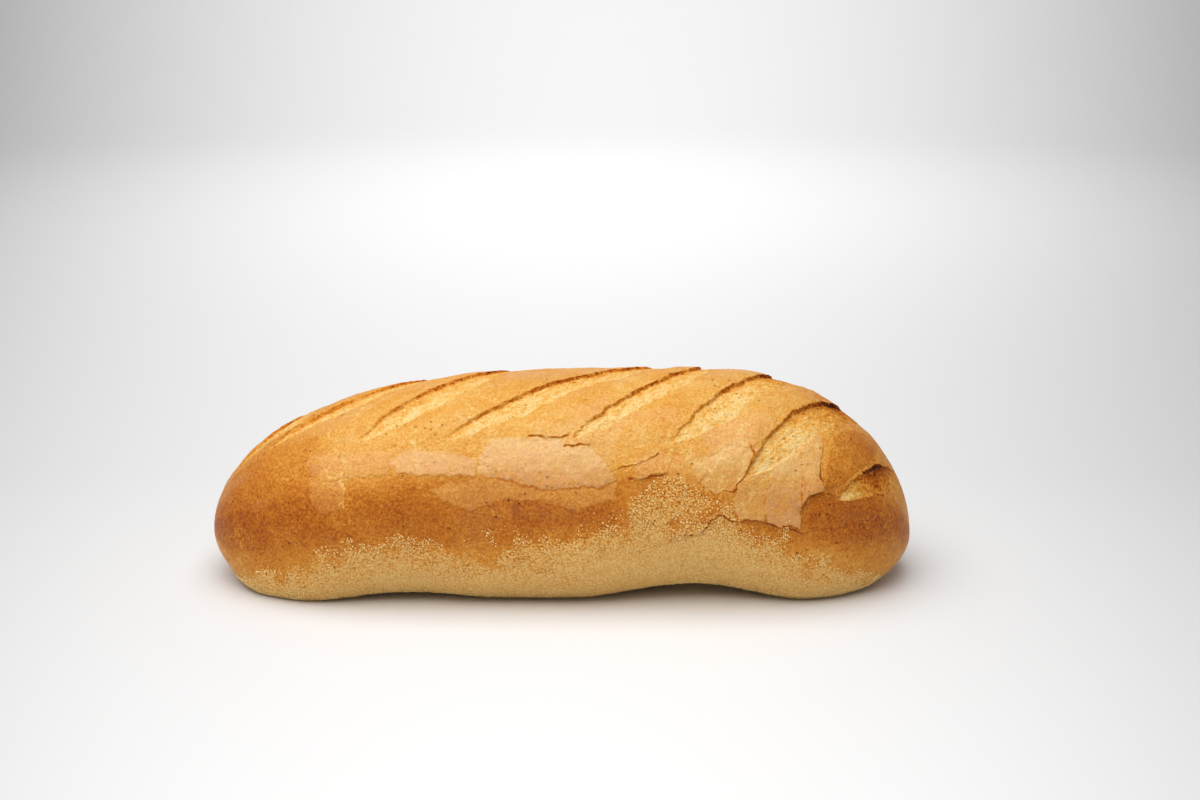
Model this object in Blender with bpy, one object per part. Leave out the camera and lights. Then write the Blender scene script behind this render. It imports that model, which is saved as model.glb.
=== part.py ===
"""A slashed french bread loaf, baked on a tray: one solid of bread.

Metres, +Z up. X runs along the loaf, and its front is -Y. It rests on Z = 0.
A place on the crust is given as (x, q): x along the loaf, and q round it,
measured from the middle of the top, negative to the front, as on the widest
section. The same pair of numbers lays out the slashes and the crust's cracks.
"""
import math

import bpy
import numpy as np

# Size of the whole loaf
LENGTH = 0.340
WIDTH = 0.128
HEIGHT = 0.0993

# Profile along the loaf
TALLEST_X = 0.062
WIDEST_X = 0.0385
NOSE_HEIGHT_LEFT = 0.0222
NOSE_HEIGHT_RIGHT = 0.0183
HEEL_LEFT = 0.029
HEEL_RIGHT = 0.0435
HEEL_ROUND_LEFT = 1.75
HEEL_ROUND_RIGHT = 2.0
CROWN_ROUND_LEFT = 3.17
CROWN_ROUND_RIGHT = 2.28
PLAN_ROUND_LEFT = 5.3
PLAN_ROUND_RIGHT = 3.39

# Section round the loaf
SOLE_SHARE_LEFT = 0.76
SOLE_SHARE_MIDDLE = 0.54
SOLE_SHARE_RIGHT = 0.66
BELLY_SHARE = 0.42
SHOULDER_ROUND = 2.15
UNDERSIDE_ROUND = 2.1
SOLE_TIP_ROUND = 16
SOLE_TURN = 0.16
BELLY_TURN = 0.50

# Waists, where the side draws in and its lower edge lifts off the tray
# (x, half length, lift of the edge, draw of the side)
WAISTS = [
    (0.062, 0.058, 0.0054, 0.0060),
    (-0.074, 0.048, 0.0026, 0.0030),
]
RESTING_SHARE = 0.45
WAIST_TOP = (0.30, 0.65)

# Slashes: where the torn lip crosses the middle of the top, its lean and its
# curl as it comes down the side, the width of the opening, and its two ends
# (x, lean, curl, gape, front end q, back end q)
SLASHES = [
    (-0.147, 0.90, 0.0, 0.029, -0.020, 0.024),
    (-0.106, 1.60, 0.0, 0.032, -0.024, 0.030),
    (-0.053, 1.05, 0.0, 0.025, -0.044, 0.032),
    (0.014, 1.31, -0.0090, 0.027, -0.051, 0.032),
    (0.056, 0.69, -0.0197, 0.018, -0.054, 0.032),
    (0.091, 0.59, -0.0098, 0.021, -0.056, 0.032),
    (0.128, 0.52, -0.0068, 0.020, -0.072, 0.022),
    (0.1665, 0.15, -0.0155, 0.018, -0.077, -0.010),
]
CURL_REACH = 0.050
TURN_UNDER = 0.115
NARROWING = (-0.020, 0.034)
NARROWED_SHARE = 0.55
OVERRUN = 0.008
REACH_BACK = 0.034
GROOVE_DEPTH = 0.0018
GROOVE_DEPTH_BACK = 0.0013
SHALLOWING = (-0.012, 0.014)
FLOOR_ROUND = 1.4
EAR_RISE = 0.0008
EAR_REACH = 0.0070
EAR_ENDS = (0.2, 0.9)
GROOVE_AFTER_LIP = 0.0016
RIM_BEFORE_LIP = 0.0022
TAPER = 0.015
PILLOW_RISE = 0.0009
TIP_FADE = 0.034

# Edges where one plate of crust has lifted over the next
# (points of the edge as (x, q), rise of the plate above it)
CRUST_EDGES = [
    ([(0.047, -0.103), (0.064, -0.099), (0.074, -0.090), (0.092, -0.093), (0.118, -0.097)], 0.0011),
    ([(0.072, -0.077), (0.082, -0.071), (0.088, -0.062)], 0.0008),
    ([(0.108, -0.087), (0.116, -0.077), (0.126, -0.075)], 0.0009),
    ([(-0.100, -0.065), (-0.069, -0.067), (-0.036, -0.069)], 0.0006),
]
EDGE_FADE = 0.022
EDGE_STEP = 0.0022
EDGE_END = 0.008

# Slow swelling of the dough over the whole surface
SWELL_RISE = 0.0004
SWELL_WAVES = 7
SWELL_LENGTHS = (0.050, 0.110)
SWELL_SEED = 23

# Where all relief dies away: towards the sole, in turns, and at both tips
RELIEF_FROM_SOLE = (0.144, 0.272)
TIP_CLOSING = 0.012

# Mesh
ROWS_SOLE = 8
ROWS_LOWER = 14
ROWS_UPPER = 34
SLASH_STATIONS = [0.30, 0.52, 0.76, 1.0]
BAND_STATIONS = 3
NOSE_STATIONS = 7
STATION_PITCH = 0.0016
CLOSED_GAPE_SHARE = 0.55
LEAST_BAND = 0.004
NORMAL_STEP = 0.0004
TINY = 1e-12
WALK_SAMPLES = 3001

CRUST_COLOUR = (0.62, 0.29, 0.075, 1.0)
CRUST_ROUGHNESS = 0.5


def smooth(low, high, value):
    """0 below low, 1 above high, with a soft rise between them."""
    t = np.clip((value - low) / (high - low), 0, 1)
    return t * t * (3 - 2 * t)


def fall(distance, power):
    """1 in the middle and 0 at distance 1, squarer for a larger power."""
    d = np.clip(np.abs(distance), 0, 1)
    return np.sqrt(np.clip(1 - d ** power, 0, 1))


def along(x, middle, round_left, round_right):
    """Share of the full size left at x, from 1 at the middle to 0 at both tips."""
    half = LENGTH / 2
    left = fall((middle - x) / (middle + half), round_left)
    right = fall((x - middle) / (half - middle), round_right)
    return np.where(x < middle, left, right)


def nose_height(x):
    rise = smooth(-LENGTH / 2, LENGTH / 2, x)
    return NOSE_HEIGHT_LEFT + (NOSE_HEIGHT_RIGHT - NOSE_HEIGHT_LEFT) * rise


def crown_height(x):
    nose = nose_height(x)
    return nose + (HEIGHT - nose) * along(x, TALLEST_X, CROWN_ROUND_LEFT, CROWN_ROUND_RIGHT)


def half_width(x):
    return WIDTH / 2 * along(x, WIDEST_X, PLAN_ROUND_LEFT, PLAN_ROUND_RIGHT)


def sole_height(x):
    """The underside, which turns up at both heels to meet the nose."""
    left = np.clip((HEEL_LEFT - LENGTH / 2 - x) / HEEL_LEFT, 0, 1)
    right = np.clip((x - LENGTH / 2 + HEEL_RIGHT) / HEEL_RIGHT, 0, 1)
    up_left = 1 - (1 - left ** HEEL_ROUND_LEFT) ** (1 / HEEL_ROUND_LEFT)
    up_right = 1 - (1 - right ** HEEL_ROUND_RIGHT) ** (1 / HEEL_ROUND_RIGHT)
    return nose_height(x) * (up_left + up_right)


def sole_share(x):
    """Share of the width that lies on the tray, more at both ends than between."""
    left = (SOLE_SHARE_LEFT - SOLE_SHARE_MIDDLE) * smooth(-0.060, -0.135, x)
    right = (SOLE_SHARE_RIGHT - SOLE_SHARE_MIDDLE) * smooth(0.070, 0.125, x)
    return SOLE_SHARE_MIDDLE + left + right


def waist(x):
    """Lift of the lower edge and draw of the side at x."""
    lift = 0 * x
    draw = 0 * x
    for middle, half_length, edge_lift, side_draw in WAISTS:
        share = 0.5 + 0.5 * np.cos(np.pi * np.clip((x - middle) / half_length, -1, 1))
        lift = lift + edge_lift * share
        draw = draw + side_draw * share
    return lift, draw


def section(x, turn):
    """The plain surface: turn 0 is the middle of the sole, 0.5 the top, and back to 1."""
    width = half_width(x)
    top = crown_height(x)
    low = sole_height(x)
    lift, draw = waist(x)
    belly = low + (top - low) * BELLY_SHARE
    side = np.where(turn < 0.5, -1.0, 1.0)
    rise = 2 * np.minimum(turn, 1 - turn)
    flat = sole_share(x) * (1 - np.clip(np.abs(x) / (LENGTH / 2), 0, 1) ** SOLE_TIP_ROUND)

    across = np.clip(rise / SOLE_TURN, 0, 1)
    y_sole = width * flat * across
    lift_sole = lift * smooth(RESTING_SHARE, 1, across)

    lower = np.clip((rise - SOLE_TURN) / (BELLY_TURN - SOLE_TURN), 0, 1) * np.pi / 2
    y_lower = width * (flat + (1 - flat) * np.sin(lower) ** (2 / UNDERSIDE_ROUND))
    z_lower = belly - (belly - low) * np.cos(lower) ** (2 / UNDERSIDE_ROUND)

    upper = np.clip((rise - BELLY_TURN) / (1 - BELLY_TURN), 0, 1) * np.pi / 2
    y_upper = width * np.cos(upper) ** (2 / SHOULDER_ROUND)
    z_upper = belly + (top - belly) * np.sin(upper) ** (2 / SHOULDER_ROUND)

    y = np.where(rise <= SOLE_TURN, y_sole, np.where(rise <= BELLY_TURN, y_lower, y_upper))
    z = np.where(rise <= SOLE_TURN, low, np.where(rise <= BELLY_TURN, z_lower, z_upper))

    # The waist lifts the edge and draws in the side below the belly
    near_edge = np.where(rise <= SOLE_TURN, lift_sole, lift * np.cos(lower))
    drawn = draw * smooth(0, SOLE_TURN, rise) * (1 - smooth(*WAIST_TOP, rise))
    return np.stack([x + 0 * y, side * (y - drawn), z + near_edge], axis=-1)


def round_distance():
    """Turn against q: the distance from the middle of the top on the widest section."""
    turn = np.linspace(0, 1, WALK_SAMPLES)
    points = section(np.full_like(turn, WIDEST_X), turn)
    step = np.linalg.norm(np.diff(points, axis=0), axis=1)
    walked = np.concatenate([[0], np.cumsum(step)])
    return turn, walked - walked[len(walked) // 2]


TURN_TABLE, Q_TABLE = round_distance()


def reach(q, front_end):
    """How far a slash has run down the side at q; it stops just past its ends."""
    limit = np.where(q < 0, OVERRUN - front_end, REACH_BACK)
    run = q / (1 + np.abs(q / limit) ** 4) ** 0.25
    under = smooth(TURN_UNDER, Q_TABLE[-1], np.abs(q))
    return run * (1 - under)


def lip_line(slash, q):
    cross, lean, curl = slash[:3]
    run = reach(q, slash[4])
    return cross + lean * run + curl * (run / CURL_REACH) ** 2


def gape(slash, q):
    """Width of the opening, a little less to the back."""
    return slash[3] * (1 - (1 - NARROWED_SHARE) * smooth(*NARROWING, q))


def opened(slash, q):
    """1 along the slash, 0 past its two pointed ends."""
    front = np.clip((q - slash[4]) / TAPER, 0, 1)
    back = np.clip((slash[5] - q) / TAPER, 0, 1)
    return np.sqrt(front * back)


def slash_relief(x, q):
    """Ear, groove, torn floor and the swollen band of crust up to the next slash."""
    rise = np.zeros(np.broadcast(x, q).shape)
    for number, slash in enumerate(SLASHES):
        lip = lip_line(slash, q)
        width = gape(slash, q)
        share = opened(slash, q)
        past = x - lip
        ear = EAR_RISE * np.exp(np.clip(past, -1, 0) / EAR_REACH) * smooth(*EAR_ENDS, share)
        wall = np.clip(past / GROOVE_AFTER_LIP, 0, 1)
        floor = np.clip((past - GROOVE_AFTER_LIP) / (width - GROOVE_AFTER_LIP), 0, 1)
        depth = GROOVE_DEPTH + (GROOVE_DEPTH_BACK - GROOVE_DEPTH) * smooth(*SHALLOWING, q)
        groove = depth * share * wall * (1 - floor) ** FLOOR_ROUND
        rise = rise + np.where(past < 0, ear, ear * (1 - wall) - groove)
        if number + 1 < len(SLASHES):
            next_lip = lip_line(SLASHES[number + 1], q)
            band = np.clip((past - width) / np.maximum(next_lip - lip - width, LEAST_BAND), 0, 1)
            shared = np.maximum(share, opened(SLASHES[number + 1], q))
            rise = rise + PILLOW_RISE * np.sin(np.pi * band) * shared
    return rise * smooth(0, TIP_FADE, LENGTH / 2 - np.abs(x))


def crust_edge_relief(x, q):
    """A plate stands proud just above its edge and eases back into the crust."""
    rise = np.zeros(np.broadcast(x, q).shape)
    for points, lift in CRUST_EDGES:
        edge_x = [point[0] for point in points]
        edge_q = [point[1] for point in points]
        above = q - np.interp(x, edge_x, edge_q)
        ends = smooth(edge_x[0] - EDGE_END, edge_x[0], x) * (1 - smooth(edge_x[-1], edge_x[-1] + EDGE_END, x))
        step = smooth(0, EDGE_STEP, above) * (1 - smooth(EDGE_STEP, EDGE_FADE, above))
        rise = rise + lift * step * ends
    return rise


def swelling(points):
    """Slow unevenness of the dough, a sum of a few waves in space."""
    chance = np.random.default_rng(SWELL_SEED)
    total = np.zeros(points.shape[:-1])
    for _ in range(SWELL_WAVES):
        direction = chance.normal(size=3)
        direction /= np.linalg.norm(direction)
        wave = 2 * np.pi / chance.uniform(*SWELL_LENGTHS)
        total += np.sin(points @ direction * wave + chance.uniform(0, 2 * np.pi))
    return SWELL_RISE * total / math.sqrt(SWELL_WAVES)


def crust(x, turn):
    """The loaf's surface with its relief, set out along the plain surface's normals."""
    here = section(x, turn)
    in_x = np.clip(x + NORMAL_STEP, -LENGTH / 2, LENGTH / 2)
    to_x = np.clip(x - NORMAL_STEP, -LENGTH / 2, LENGTH / 2)
    down_length = section(in_x, turn) - section(to_x, turn)
    round_loaf = section(x, np.clip(turn + NORMAL_STEP, 0, 1)) - section(x, np.clip(turn - NORMAL_STEP, 0, 1))
    normal = np.cross(down_length, round_loaf)
    normal /= np.maximum(np.linalg.norm(normal, axis=-1, keepdims=True), TINY)
    q = np.interp(turn, TURN_TABLE, Q_TABLE)
    rise = slash_relief(x, q) + crust_edge_relief(x, q) + swelling(here)
    # The sole stays as flat as the tray, and both tips stay closed
    rise = rise * smooth(*RELIEF_FROM_SOLE, 2 * np.minimum(turn, 1 - turn))
    rise = rise * smooth(0, TIP_CLOSING, LENGTH / 2 - np.abs(x))
    return here + normal * rise[..., None]


def crown_walk():
    """Distance walked over the top from the left tip, against x."""
    x = -LENGTH / 2 * np.cos(np.linspace(0, np.pi, WALK_SAMPLES))
    step = np.hypot(np.diff(x), np.diff(crown_height(x)))
    return x, np.concatenate([[0], np.cumsum(step)])


def row_turns():
    """Where the mesh's rows run, as turns, closest together over the top."""
    sole = np.linspace(0, SOLE_TURN / 2, ROWS_SOLE // 2 + 1)[:-1]
    lower = np.linspace(SOLE_TURN / 2, BELLY_TURN / 2, ROWS_LOWER // 2 + 1)[:-1]
    upper = np.linspace(BELLY_TURN / 2, 0.5, ROWS_UPPER // 2 + 1)[:-1]
    front = np.concatenate([sole, lower, upper])
    return np.concatenate([front, [0.5], 1 - front[:0:-1]])


def station_lines(q):
    """x of every station on the row at q: they follow the slashes over the loaf."""
    walk_x, walked = crown_walk()
    lines = []
    for number, slash in enumerate(SLASHES):
        lip = float(lip_line(slash, q))
        width = float(gape(slash, q)) * max(float(opened(slash, q)), CLOSED_GAPE_SHARE)
        end = lip + width
        lines += [lip - RIM_BEFORE_LIP, lip, lip + GROOVE_AFTER_LIP]
        lines += [lip + width * share for share in SLASH_STATIONS]
        if number + 1 < len(SLASHES):
            next_rim = float(lip_line(SLASHES[number + 1], q)) - RIM_BEFORE_LIP
            steps = range(1, BAND_STATIONS + 1)
            lines += [end + (next_rim - end) * step / (BAND_STATIONS + 1) for step in steps]
    count = len(lines) + 2 * NOSE_STATIONS
    place = np.arange(NOSE_STATIONS, NOSE_STATIONS + len(lines)) + 1
    at_least = np.interp(place * STATION_PITCH, walked, walk_x)
    at_most = np.interp(walked[-1] - (count + 1 - place) * STATION_PITCH, walked, walk_x)
    lines = np.clip(lines, at_least, at_most)
    first = np.interp(lines[0], walk_x, walked)
    last = np.interp(lines[-1], walk_x, walked)
    steps = np.arange(1, NOSE_STATIONS + 1) / (NOSE_STATIONS + 1)
    left = np.interp(first * steps, walked, walk_x)
    right = np.interp(last + (walked[-1] - last) * steps, walked, walk_x)
    return np.concatenate([left, lines, right])


def make_loaf():
    turns = row_turns()
    q_rows = np.interp(turns, TURN_TABLE, Q_TABLE)
    x = np.array([station_lines(q) for q in q_rows]).T
    turn = np.broadcast_to(turns, x.shape)
    surface = crust(x, turn)
    tips = [(-LENGTH / 2, 0, NOSE_HEIGHT_LEFT), (LENGTH / 2, 0, NOSE_HEIGHT_RIGHT)]
    points = np.concatenate([surface.reshape(-1, 3), tips])
    middle = (points.min(axis=0) + points.max(axis=0)) / 2
    points[:, :2] -= middle[:2]

    stations, rows = x.shape
    left_tip = stations * rows
    right_tip = left_tip + 1
    faces = []
    for row in range(rows):
        after = (row + 1) % rows
        faces.append((left_tip, row, after))
        for station in range(stations - 1):
            here = station * rows
            there = here + rows
            faces.append((here + row, there + row, there + after, here + after))
        last = (stations - 1) * rows
        faces.append((right_tip, last + after, last + row))

    mesh = bpy.data.meshes.new("loaf")
    mesh.from_pydata(points.tolist(), [], faces)
    mesh.shade_smooth()
    mesh.materials.append(crust_material())
    loaf = bpy.data.objects.new("loaf", mesh)
    bpy.context.scene.collection.objects.link(loaf)
    return loaf


def crust_material():
    material = bpy.data.materials.new("crust")
    material.use_nodes = True
    shader = material.node_tree.nodes["Principled BSDF"]
    shader.inputs["Base Color"].default_value = CRUST_COLOUR
    shader.inputs["Roughness"].default_value = CRUST_ROUGHNESS
    shader.inputs["Metallic"].default_value = 0.0
    return material


for old in list(bpy.data.objects):
    bpy.data.objects.remove(old, do_unlink=True)
make_loaf()
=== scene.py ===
# %% [markdown]
# A stout french loaf, baked on a tray dusted with semolina. This lesson dresses
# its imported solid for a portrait: one fine skin for the whole loaf, the torn
# slashes, the lifted plates of crust, the semolina grains, and the colours of
# baking. The frame comes first, because every later piece has to fit it.

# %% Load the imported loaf
import math

import bpy
import numpy as np
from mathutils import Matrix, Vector


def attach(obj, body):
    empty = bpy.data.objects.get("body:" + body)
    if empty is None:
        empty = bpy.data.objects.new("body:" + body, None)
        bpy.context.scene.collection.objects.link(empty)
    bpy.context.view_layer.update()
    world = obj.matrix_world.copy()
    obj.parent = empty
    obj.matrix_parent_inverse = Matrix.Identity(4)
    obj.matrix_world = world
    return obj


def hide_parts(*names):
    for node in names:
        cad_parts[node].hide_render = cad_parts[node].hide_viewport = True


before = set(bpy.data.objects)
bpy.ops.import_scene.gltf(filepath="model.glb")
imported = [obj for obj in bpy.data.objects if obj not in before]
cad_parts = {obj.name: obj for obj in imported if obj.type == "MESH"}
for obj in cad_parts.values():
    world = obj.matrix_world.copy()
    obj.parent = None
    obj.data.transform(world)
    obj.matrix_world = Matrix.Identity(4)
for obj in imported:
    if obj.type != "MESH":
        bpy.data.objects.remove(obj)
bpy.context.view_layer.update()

# %% [markdown]
# The camera stands a metre in front of the loaf and looks down on it by about
# fifteen degrees, so the crown hides the back but the slashes still show. It is
# set first, because the size of one pixel decides how fine the skin must be.

# %% Camera
CAMERA_ELEVATION = math.radians(15.0)
CAMERA_DISTANCE = 1.0
CAMERA_AIM = Vector((0.0185, 0.0, 0.0862))
SENSOR_WIDTH = 36.0
PHOTO_WIDTH = 1200
FOCAL_PIXELS = 2070.0


def placed(name, data):
    """A new object that holds the data, linked into the scene."""
    item = bpy.data.objects.new(name, data)
    bpy.context.scene.collection.objects.link(item)
    return item


camera_data = bpy.data.cameras.new("portrait_camera")
camera_data.sensor_width = SENSOR_WIDTH
camera_data.lens = FOCAL_PIXELS * SENSOR_WIDTH / PHOTO_WIDTH
camera = placed("portrait_camera", camera_data)
camera_back = Vector((0, -math.cos(CAMERA_ELEVATION), math.sin(CAMERA_ELEVATION)))
camera.location = CAMERA_AIM + CAMERA_DISTANCE * camera_back
camera.rotation_euler = camera_back.to_track_quat("Z", "Y").to_euler()
bpy.context.scene.camera = camera
print("lens", round(camera_data.lens, 1), "mm, a pixel covers", round(1e3 / FOCAL_PIXELS, 2), "mm")

# %% [markdown]
# A loaf is a soft tube that was proved, slashed and set down on a tray. Its
# form is drawn here as one formula of two numbers: x along the loaf, and a turn
# round it that starts in the middle of the sole. A formula beats a sculpted mesh
# because the same surface can be asked for at any fineness, which the crisp torn
# lips need and the plain sides don't. First come its outlines from each side.

# %% Outlines of the dough
LENGTH = 0.340
WIDTH = 0.128
HEIGHT = 0.0993
TALLEST_X = 0.062
WIDEST_X = 0.0385
# Sizes at the left and the right end
NOSE_HEIGHT = (0.0222, 0.0183)
HEEL = (0.029, 0.0435)
HEEL_ROUND = (1.75, 2.0)
CROWN_ROUND = (3.17, 2.28)
PLAN_ROUND = (5.3, 3.39)
# Flat share of the sole at the left, the middle and the right
SOLE_SHARE = (0.76, 0.54, 0.66)
SOLE_WIDENS_LEFT = (-0.060, -0.135)
SOLE_WIDENS_RIGHT = (0.070, 0.125)


def smooth(low, high, value):
    """0 below low, 1 above high, with a soft rise between them."""
    t = np.clip((value - low) / (high - low), 0, 1)
    return t * t * (3 - 2 * t)


def growing(low, high, least, value):
    """From least at low to 1 at high."""
    return least + (1 - least) * smooth(low, high, value)


def fall(distance, power):
    d = np.clip(np.abs(distance), 0, 1)
    return np.sqrt(np.clip(1 - d ** power, 0, 1))


def along(x, middle, round_left, round_right):
    """Share of the full size left at x, from 1 at the middle to 0 at both tips."""
    half = LENGTH / 2
    left = fall((middle - x) / (middle + half), round_left)
    right = fall((x - middle) / (half - middle), round_right)
    return np.where(x < middle, left, right)


def nose_height(x):
    left, right = NOSE_HEIGHT
    return left + (right - left) * smooth(-LENGTH / 2, LENGTH / 2, x)


def crown_height(x):
    nose = nose_height(x)
    return nose + (HEIGHT - nose) * along(x, TALLEST_X, *CROWN_ROUND)


def half_width(x):
    return WIDTH / 2 * along(x, WIDEST_X, *PLAN_ROUND)


def sole_height(x):
    """The underside, which turns up at both heels to meet the nose."""
    left = np.clip((HEEL[0] - LENGTH / 2 - x) / HEEL[0], 0, 1)
    right = np.clip((x - LENGTH / 2 + HEEL[1]) / HEEL[1], 0, 1)
    up = [1 - (1 - share ** power) ** (1 / power) for share, power in zip((left, right), HEEL_ROUND)]
    return nose_height(x) * (up[0] + up[1])


def sole_share(x):
    left, middle, right = SOLE_SHARE
    to_left = (left - middle) * smooth(*SOLE_WIDENS_LEFT, x)
    to_right = (right - middle) * smooth(*SOLE_WIDENS_RIGHT, x)
    return middle + to_left + to_right


print("the crown stands", round(float(crown_height(TALLEST_X)), 4), "high")

# %% [markdown]
# The cross-section is flat below, round at the belly and rounder on top. At two
# waists, between the places where the loaf rests, its side draws in and its lower
# edge lifts.

# %% One section of the dough
BELLY_SHARE = 0.42
SHOULDER_ROUND = 2.15
UNDERSIDE_ROUND = 2.1
SOLE_TIP_ROUND = 16
SOLE_TURN = 0.16
BELLY_TURN = 0.50
# Middle, half length, lift of the lower edge and draw of the side
WAISTS = [(0.062, 0.058, 0.0054, 0.0060), (-0.074, 0.048, 0.0026, 0.0030)]
RESTING_SHARE = 0.45
WAIST_TOP = (0.30, 0.65)


def up_round(turn):
    """How far round a turn is from the middle of the sole, 0, to the crown, 1."""
    return 2 * np.minimum(turn, 1 - turn)


def waist(x):
    """Lift of the lower edge and draw of the side at x."""
    lift = 0 * x
    draw = 0 * x
    for middle, half_length, edge_lift, side_draw in WAISTS:
        share = 0.5 + 0.5 * np.cos(np.pi * np.clip((x - middle) / half_length, -1, 1))
        lift = lift + edge_lift * share
        draw = draw + side_draw * share
    return lift, draw


def section(x, turn):
    """The plain surface: turn 0 is the middle of the sole, 0.5 the top, and back to 1."""
    width = half_width(x)
    top = crown_height(x)
    low = sole_height(x)
    lift, draw = waist(x)
    belly = low + (top - low) * BELLY_SHARE
    side = np.where(turn < 0.5, -1.0, 1.0)
    rise = up_round(turn)
    flat = sole_share(x) * (1 - np.clip(np.abs(x) / (LENGTH / 2), 0, 1) ** SOLE_TIP_ROUND)
    across = np.clip(rise / SOLE_TURN, 0, 1)
    lower = np.clip((rise - SOLE_TURN) / (BELLY_TURN - SOLE_TURN), 0, 1) * np.pi / 2
    upper = np.clip((rise - BELLY_TURN) / (1 - BELLY_TURN), 0, 1) * np.pi / 2
    y_lower = width * (flat + (1 - flat) * np.sin(lower) ** (2 / UNDERSIDE_ROUND))
    z_lower = belly - (belly - low) * np.cos(lower) ** (2 / UNDERSIDE_ROUND)
    y_upper = width * np.cos(upper) ** (2 / SHOULDER_ROUND)
    z_upper = belly + (top - belly) * np.sin(upper) ** (2 / SHOULDER_ROUND)
    y_side = np.where(rise <= BELLY_TURN, y_lower, y_upper)
    z_side = np.where(rise <= BELLY_TURN, z_lower, z_upper)
    y = np.where(rise <= SOLE_TURN, width * flat * across, y_side)
    z = np.where(rise <= SOLE_TURN, low, z_side)
    lift_sole = lift * smooth(RESTING_SHARE, 1, across)
    near_edge = np.where(rise <= SOLE_TURN, lift_sole, lift * np.cos(lower))
    drawn = draw * smooth(0, SOLE_TURN, rise) * (1 - smooth(*WAIST_TOP, rise))
    return np.stack([x + 0 * y, side * (y - drawn), z + near_edge], axis=-1)


print("section at x = 0, from sole to crown:", section(0.0, np.array([0.1, 0.3, 0.5])).round(3).tolist())

# %% [markdown]
# To lay out slashes and cracks it helps to unroll the loaf like a label from a
# tin. A place is (x, q): q is the distance round the loaf from the middle of the
# top, negative down the front. The table below turns q into the formula's turn.

# %% Unrolled coordinates
TABLE_STEPS = 3001


def walk(points):
    step = np.linalg.norm(np.diff(points, axis=0), axis=1)
    return np.concatenate([[0], np.cumsum(step)])


turn_table = np.linspace(0, 1, TABLE_STEPS)
walked_round = walk(section(np.full_like(turn_table, WIDEST_X), turn_table))
q_table = walked_round - walked_round[TABLE_STEPS // 2]
x_table = -LENGTH / 2 * np.cos(np.linspace(0, np.pi, TABLE_STEPS))
walked_over = walk(np.stack([x_table, crown_height(x_table)], axis=-1))
print("round the loaf", round(walked_round[-1], 4), "over the loaf", round(walked_over[-1], 4))

# %% [markdown]
# Bread is uneven at every size, so noise does much of the work. This value noise
# picks a random number at each corner of a grid and blends between corners. The
# numbers come from a fixed mixing rule, so the loaf is the same on every run.

# %% Noise with a memory
MIX = (np.uint32(0x8DA6B343), np.uint32(0xD8163841), np.uint32(0xCB1AB31F))
STIR = np.uint32(0x27D4EB2D)


def corner_value(cell, seed):
    mixed = np.uint32(seed * int(STIR) & 0xFFFFFFFF)
    for axis in range(3):
        mixed = mixed ^ (cell[..., axis].astype(np.int64).astype(np.uint32) * MIX[axis])
    mixed = (mixed ^ (mixed >> np.uint32(13))) * STIR
    mixed = (mixed ^ (mixed >> np.uint32(15))) * MIX[1]
    mixed = mixed ^ (mixed >> np.uint32(16))
    return mixed.astype(np.float64) / 2147483647.5 - 1


def lumps(points, size, seed):
    """Smooth noise from -1 to 1 with lumps about size across."""
    place = points / size + 137.0
    cell = np.floor(place)
    part = place - cell
    part = part * part * (3 - 2 * part)
    total = 0
    for corner in range(8):
        offset = np.array([corner & 1, corner >> 1 & 1, corner >> 2 & 1])
        weight = np.prod(np.where(offset, part, 1 - part), axis=-1)
        total = total + weight * corner_value(cell + offset, seed)
    return total


def rough(points, size, octaves, seed):
    """Lumps on lumps, each octave half as large and half as high."""
    total = 0
    share = 1.0
    for octave in range(octaves):
        total = total + share * lumps(points, size * 0.5 ** octave, seed + 17 * octave)
        share *= 0.5
    return total


def on_label(x, q, stretch=1.0):
    """Points for noise that should follow the unrolled crust."""
    return np.stack(np.broadcast_arrays(x, q * stretch, 0.0 * x), axis=-1)


def along_line(value, size, seed):
    """Noise along a line, for ragged edges."""
    return lumps(np.stack([value, 0 * value, 0 * value], axis=-1), size, seed)


# %% [markdown]
# The baker's blade leaves a slanting cut. In the oven the dough swells and tears
# it open: the upper side lifts into an ear with a ragged, scorched lip, and the
# lower side stretches into a rough pale floor that runs up to the next band of
# crust. Each slash is a row of a few sizes, from which its lip line is drawn.

# %% Where the slashes run
# Lip on the crown (x), lean, curl, width of the opening, front end q, back end q
SLASHES = [
    (-0.147, 0.90, 0.0, 0.029, -0.020, 0.024),
    (-0.106, 1.60, 0.0, 0.032, -0.024, 0.030),
    (-0.053, 1.05, 0.0, 0.025, -0.044, 0.032),
    (0.014, 1.31, -0.0090, 0.027, -0.051, 0.032),
    (0.056, 0.69, -0.0197, 0.018, -0.054, 0.032),
    (0.091, 0.59, -0.0098, 0.021, -0.056, 0.032),
    (0.128, 0.52, -0.0068, 0.020, -0.072, 0.022),
    (0.1665, 0.15, -0.0155, 0.018, -0.077, -0.010),
]
CURL_REACH = 0.050
TURN_UNDER = 0.115
NARROWING = (-0.020, 0.034)
NARROWED_SHARE = 0.55
OVERRUN = 0.008
REACH_BACK = 0.034
TAPER = 0.015
RAG_LARGE = 0.0006
RAG_SMALL = 0.0006


def reach(q, front_end):
    limit = np.where(q < 0, OVERRUN - front_end, REACH_BACK)
    run = q / (1 + np.abs(q / limit) ** 4) ** 0.25
    under = smooth(TURN_UNDER, q_table[-1], np.abs(q))
    return run * (1 - under)


def lip_line(slash, q):
    """x of the torn lip at q, with the raggedness of a tear."""
    cross, lean, curl = slash[:3]
    run = reach(q, slash[4])
    seed = int(cross * 1e4) % 997
    rag = RAG_LARGE * along_line(q, 0.0045, seed) + RAG_SMALL * along_line(q, 0.0014, seed + 1)
    return cross + lean * run + curl * (run / CURL_REACH) ** 2 + rag * math.hypot(1, lean)


def gape(slash, q):
    return slash[3] * (1 - (1 - NARROWED_SHARE) * smooth(*NARROWING, q))


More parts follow.
